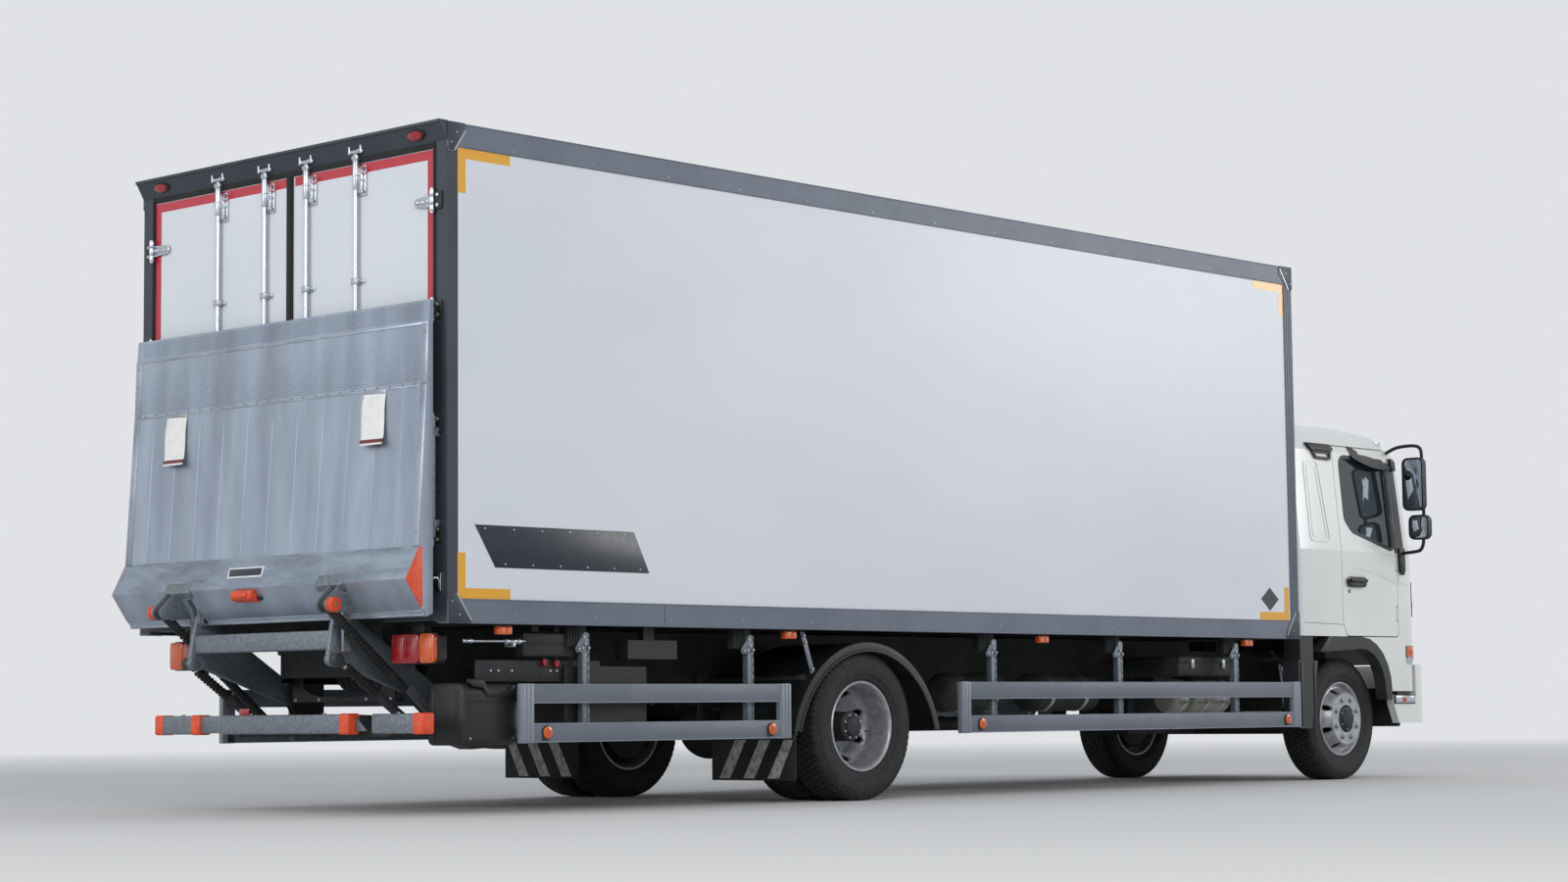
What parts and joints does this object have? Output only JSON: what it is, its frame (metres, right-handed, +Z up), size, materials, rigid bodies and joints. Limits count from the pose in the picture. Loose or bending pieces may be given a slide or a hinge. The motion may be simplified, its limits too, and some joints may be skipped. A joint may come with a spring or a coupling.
{
  "type": "refrigerated box truck",
  "caption": "Refrigerated box truck with twin rear doors, a steered cab chassis and a tail lift stowed upright.",
  "frame": {"origin": "on the ground, at the middle of the overall length and width", "axes": "+X forward, +Y to the truck's left, +Z up"},
  "size_m": [10.0088, 2.82, 3.512],
  "materials": {
    "panel_white": "satin",
    "blue_grey_profile": "satin",
    "slate_frame": "satin",
    "cab_white": "gloss",
    "chassis_black": "satin",
    "dark_plastic": "matte",
    "trim_grey": "matte",
    "zinc": "satin",
    "aluminium_board": "satin",
    "wheel_silver": "satin",
    "tyre_rubber": "matte",
    "clear_glass": "gloss",
    "rod_chrome": "gloss",
    "orange_plastic": "satin",
    "flag_white": "matte",
    "seat_fabric": "matte",
    "lamp_lens": "gloss",
    "unit_white": "satin"
  },
  "bodies": {
    "root": {"chassis_frame": "chassis_black", "box_bearers": "chassis_black", "box_floor": "trim_grey", "side_wall_left": "panel_white", "side_wall_right": "panel_white", "front_wall": "panel_white", "box_roof": "panel_white", "edge_profiles": "blue_grey_profile", "rear_frame": "slate_frame", "rear_door_left": "panel_white", "rear_door_right": "panel_white", "door_rods": "zinc", "door_hinges": "dark_plastic", "refrigeration_unit": "unit_white", "front_axle": "chassis_black", "rear_axle": "chassis_black", "leaf_springs": "chassis_black", "driveline": "chassis_black", "tanks_and_boxes": "dark_plastic", "lift_frame": "chassis_black", "underrun_bar": "zinc", "lift_controls": "dark_plastic", "side_guards": "blue_grey_profile", "mudguards": "dark_plastic", "lamps": "lamp_lens", "cab_shell": "cab_white", "cab_floor": "trim_grey", "cab_mounts": "chassis_black", "windscreen": "clear_glass", "dashboard": "trim_grey", "seats": "seat_fabric", "grille": "dark_plastic", "front_bumper": "cab_white", "arch_trims": "trim_grey", "mirrors": "dark_plastic"},
    "knuckle_left": {"knuckle_left": "chassis_black"},
    "knuckle_right": {"knuckle_right": "chassis_black"},
    "track_rod": {"track_rod": "chassis_black"},
    "wheel_front_left": {"rim_front_left": "wheel_silver", "tyre_front_left": "tyre_rubber"},
    "wheel_front_right": {"rim_front_right": "wheel_silver", "tyre_front_right": "tyre_rubber"},
    "wheel_rear_left": {"rims_rear_left": "wheel_silver", "tyres_rear_left": "tyre_rubber"},
    "wheel_rear_right": {"rims_rear_right": "wheel_silver", "tyres_rear_right": "tyre_rubber"},
    "cab_door_left": {"cab_door_left": "cab_white", "door_glass_left": "clear_glass"},
    "cab_door_right": {"cab_door_right": "cab_white", "door_glass_right": "clear_glass"},
    "lift_arms": {"lift_arms": "zinc"},
    "hinge_pins": {"hinge_pins": "zinc"},
    "platform": {"platform": "aluminium_board", "platform_caps": "orange_plastic", "warning_flags": "flag_white"},
    "tilt_pins": {"tilt_pins": "zinc"},
    "tilt_barrels": {"tilt_barrels": "chassis_black"},
    "tilt_rods": {"tilt_rods": "rod_chrome"},
    "lift_barrels": {"lift_barrels": "chassis_black"},
    "lift_rods": {"lift_rods": "rod_chrome"}
  },
  "joints": [
    {"name": "steering", "type": "hinge", "parent": "root", "child": "knuckle_left", "pos_m": [3.8545, 0.72, 0.425], "axis": [0, 0, 1], "range_deg": [-40, 40]},
    {"name": "steering_right", "type": "hinge", "parent": "root", "child": "knuckle_right", "pos_m": [3.8545, -0.72, 0.425], "axis": [0, 0, 1], "range_deg": [-40, 40]},
    {"name": "track_rod_slide", "type": "slide", "parent": "root", "child": "track_rod", "axis": [0, 1, 0], "range_m": [-0.13, 0.13]},
    {"name": "front_left_roll", "type": "hinge", "parent": "knuckle_left", "child": "wheel_front_left", "pos_m": [3.8545, 0.892, 0.425], "axis": [0, 1, 0], "continuous": true},
    {"name": "front_right_roll", "type": "hinge", "parent": "knuckle_right", "child": "wheel_front_right", "pos_m": [3.8545, -0.892, 0.425], "axis": [0, 1, 0], "continuous": true},
    {"name": "rear_left_roll", "type": "hinge", "parent": "root", "child": "wheel_rear_left", "pos_m": [-1.4815, 0.96, 0.425], "axis": [0, 1, 0], "continuous": true},
    {"name": "rear_right_roll", "type": "hinge", "parent": "root", "child": "wheel_rear_right", "pos_m": [-1.4815, -0.96, 0.425], "axis": [0, 1, 0], "continuous": true},
    {"name": "left_door_swing", "type": "hinge", "parent": "root", "child": "cab_door_left", "pos_m": [4.3945, 1.144, 1.3], "axis": [0, 0, -1], "range_deg": [0, 75]},
    {"name": "right_door_swing", "type": "hinge", "parent": "root", "child": "cab_door_right", "pos_m": [4.3945, -1.144, 1.3], "axis": [0, 0, 1], "range_deg": [0, 75]},
    {"name": "arms_swing", "type": "hinge", "parent": "root", "child": "lift_arms", "pos_m": [-4.1585, 0, 0.614], "axis": [0, -1, 0], "range_deg": [0, 63.5]},
    {"name": "pins_level", "type": "hinge", "parent": "lift_arms", "child": "hinge_pins", "pos_m": [-4.7905, 0, 1.03], "axis": [0, -1, 0], "range_deg": [-64, 0.5]},
    {"name": "platform_tilt", "type": "hinge", "parent": "hinge_pins", "child": "platform", "pos_m": [-4.7905, 0, 1.03], "axis": [0, -1, 0], "range_deg": [0, 98]},
    {"name": "tilt_link_swing", "type": "hinge", "parent": "root", "child": "tilt_pins", "pos_m": [-4.2015, 0, 0.44], "axis": [0, -1, 0], "range_deg": [-0.5, 64]},
    {"name": "tilt_barrels_swing", "type": "hinge", "parent": "tilt_pins", "child": "tilt_barrels", "pos_m": [-4.2015, 0, 0.44], "axis": [0, -1, 0], "range_deg": [-0.5, 6.05]},
    {"name": "tilt_rods_slide", "type": "slide", "parent": "tilt_barrels", "child": "tilt_rods", "axis": [-0.7696, 0, 0.6385], "range_m": [-0.2596, 0.002]},
    {"name": "lift_barrels_swing", "type": "hinge", "parent": "root", "child": "lift_barrels", "pos_m": [-4.3155, 0, 0.44], "axis": [0, -1, 0], "range_deg": [-0.5, 83.33]},
    {"name": "lift_rods_slide", "type": "slide", "parent": "lift_barrels", "child": "lift_rods", "axis": [-0.823, 0, 0.5681], "range_m": [-0.1666, 0.002]}
  ],
  "couplings": [
    {"joint": "steering_right", "follows": "steering", "ratio": 1},
    {"joint": "track_rod_slide", "follows": "steering", "m_per_rad": -0.166},
    {"joint": "pins_level", "follows": "arms_swing", "ratio": -1},
    {"joint": "tilt_link_swing", "follows": "arms_swing", "ratio": 1},
    {"joint": "tilt_barrels_swing", "follows": "platform_tilt", "ratio": 0.056612},
    {"joint": "tilt_rods_slide", "follows": "platform_tilt", "m_per_rad": -0.15063},
    {"joint": "lift_barrels_swing", "follows": "arms_swing", "ratio": 1.3044},
    {"joint": "lift_rods_slide", "follows": "arms_swing", "m_per_rad": -0.14852}
  ]
}
